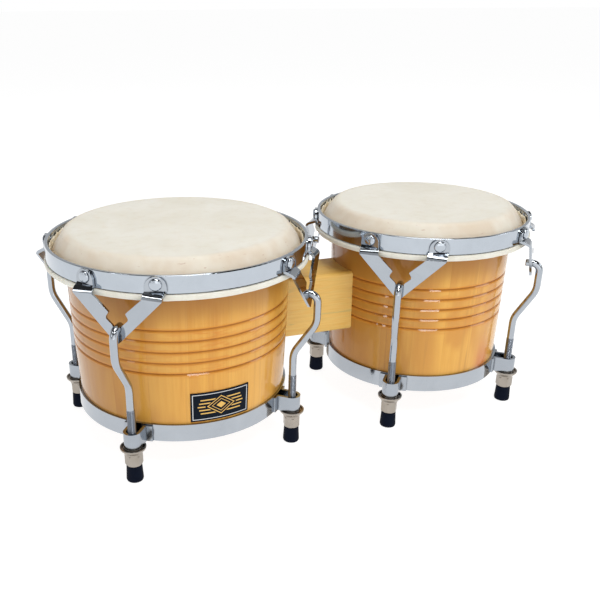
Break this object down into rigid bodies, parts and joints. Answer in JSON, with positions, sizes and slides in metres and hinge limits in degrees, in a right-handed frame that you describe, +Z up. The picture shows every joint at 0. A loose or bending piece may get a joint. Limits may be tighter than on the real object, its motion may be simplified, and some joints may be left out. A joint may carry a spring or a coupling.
{
  "type": "bongo drums",
  "caption": "Pair of joined wooden bongo drums with skin heads, riveted claw-plate rims, J hooks, lug nuts on a bottom ring and rubber feet.",
  "frame": {"origin": "on the floor plane under the middle of the bounding box", "axes": "+X from the large drum to the small drum, +Z up, -Y towards the badge side"},
  "size_m": [0.4562, 0.229, 0.1905],
  "materials": {
    "shell_wood": "clear gloss lacquer",
    "block_wood": "satin lacquer",
    "skin": "matt rawhide",
    "hoop_skin": "matt rawhide",
    "chrome": "bright chrome plate",
    "nickel": "dull nickel plate",
    "plain_steel": "zinc-plated steel",
    "rubber": "matt rubber",
    "badge": "gloss enamel with gold and silver print"
  },
  "bodies": {
    "shells": {"large_shell": "shell_wood", "large_head": "skin", "large_bottom_ring": "chrome", "large_lugs": "chrome", "large_washers": "nickel", "large_backing_plate": "plain_steel", "small_shell": "shell_wood", "small_head": "skin", "small_bottom_ring": "chrome", "small_lugs": "chrome", "small_washers": "nickel", "small_backing_plate": "plain_steel", "centre_block": "block_wood", "block_bolts": "plain_steel", "block_nuts": "plain_steel", "badge": "badge"},
    "large_rim_assembly": {"large_rim": "chrome", "large_flesh_hoop": "hoop_skin", "large_rivets": "chrome", "large_claw_1": "chrome", "large_hook_1": "chrome", "large_foot_1": "rubber", "large_claw_2": "chrome", "large_hook_2": "chrome", "large_foot_2": "rubber", "large_claw_3": "chrome", "large_hook_3": "chrome", "large_foot_3": "rubber", "large_claw_4": "chrome", "large_hook_4": "chrome", "large_foot_4": "rubber"},
    "large_lug_nut_1": {"large_nut_1": "nickel"},
    "large_lug_nut_2": {"large_nut_2": "nickel"},
    "large_lug_nut_3": {"large_nut_3": "nickel"},
    "large_lug_nut_4": {"large_nut_4": "nickel"},
    "small_rim_assembly": {"small_rim": "chrome", "small_flesh_hoop": "hoop_skin", "small_rivets": "chrome", "small_claw_1": "chrome", "small_hook_1": "chrome", "small_foot_1": "rubber", "small_claw_2": "chrome", "small_hook_2": "chrome", "small_foot_2": "rubber", "small_claw_3": "chrome", "small_hook_3": "chrome", "small_foot_3": "rubber", "small_claw_4": "chrome", "small_hook_4": "chrome", "small_foot_4": "rubber"},
    "small_lug_nut_1": {"small_nut_1": "nickel"},
    "small_lug_nut_2": {"small_nut_2": "nickel"},
    "small_lug_nut_3": {"small_nut_3": "nickel"},
    "small_lug_nut_4": {"small_nut_4": "nickel"}
  },
  "joints": [
    {"name": "large_nut_1_turn", "type": "hinge", "parent": "shells", "child": "large_lug_nut_1", "pos_m": [-0.17371, -0.08504, 0.0205], "axis": [0, 0, 1], "range_deg": [0, 2160]},
    {"name": "large_nut_2_turn", "type": "hinge", "parent": "shells", "child": "large_lug_nut_2", "pos_m": [-0.02884, -0.06853, 0.0205], "axis": [0, 0, 1], "range_deg": [0, 2160]},
    {"name": "large_nut_3_turn", "type": "hinge", "parent": "shells", "child": "large_lug_nut_3", "pos_m": [-0.04285, 0.08397, 0.0205], "axis": [0, 0, 1], "range_deg": [0, 2160]},
    {"name": "large_nut_4_turn", "type": "hinge", "parent": "shells", "child": "large_lug_nut_4", "pos_m": [-0.20147, 0.05643, 0.0205], "axis": [0, 0, 1], "range_deg": [0, 2160]},
    {"name": "large_rim_slide", "type": "slide", "parent": "shells", "child": "large_rim_assembly", "axis": [0, 0, -1], "range_m": [0, 0.006], "deforming": ["large_head"]},
    {"name": "small_nut_1_turn", "type": "hinge", "parent": "shells", "child": "small_lug_nut_1", "pos_m": [0.06595, -0.07267, 0.0205], "axis": [0, 0, 1], "range_deg": [0, 2160]},
    {"name": "small_nut_2_turn", "type": "hinge", "parent": "shells", "child": "small_lug_nut_2", "pos_m": [0.19712, -0.0628, 0.0205], "axis": [0, 0, 1], "range_deg": [0, 2160]},
    {"name": "small_nut_3_turn", "type": "hinge", "parent": "shells", "child": "small_lug_nut_3", "pos_m": [0.18883, 0.07275, 0.0205], "axis": [0, 0, 1], "range_deg": [0, 2160]},
    {"name": "small_nut_4_turn", "type": "hinge", "parent": "shells", "child": "small_lug_nut_4", "pos_m": [0.04985, 0.05752, 0.0205], "axis": [0, 0, 1], "range_deg": [0, 2160]},
    {"name": "small_rim_slide", "type": "slide", "parent": "shells", "child": "small_rim_assembly", "axis": [0, 0, -1], "range_m": [0, 0.006], "deforming": ["small_head"]}
  ],
  "couplings": [
    {"joint": "large_nut_1_turn", "follows": "large_rim_slide", "rad_per_m": 6283.2},
    {"joint": "large_nut_2_turn", "follows": "large_rim_slide", "rad_per_m": 6283.2},
    {"joint": "large_nut_3_turn", "follows": "large_rim_slide", "rad_per_m": 6283.2},
    {"joint": "large_nut_4_turn", "follows": "large_rim_slide", "rad_per_m": 6283.2},
    {"joint": "small_nut_1_turn", "follows": "small_rim_slide", "rad_per_m": 6283.2},
    {"joint": "small_nut_2_turn", "follows": "small_rim_slide", "rad_per_m": 6283.2},
    {"joint": "small_nut_3_turn", "follows": "small_rim_slide", "rad_per_m": 6283.2},
    {"joint": "small_nut_4_turn", "follows": "small_rim_slide", "rad_per_m": 6283.2}
  ]
}
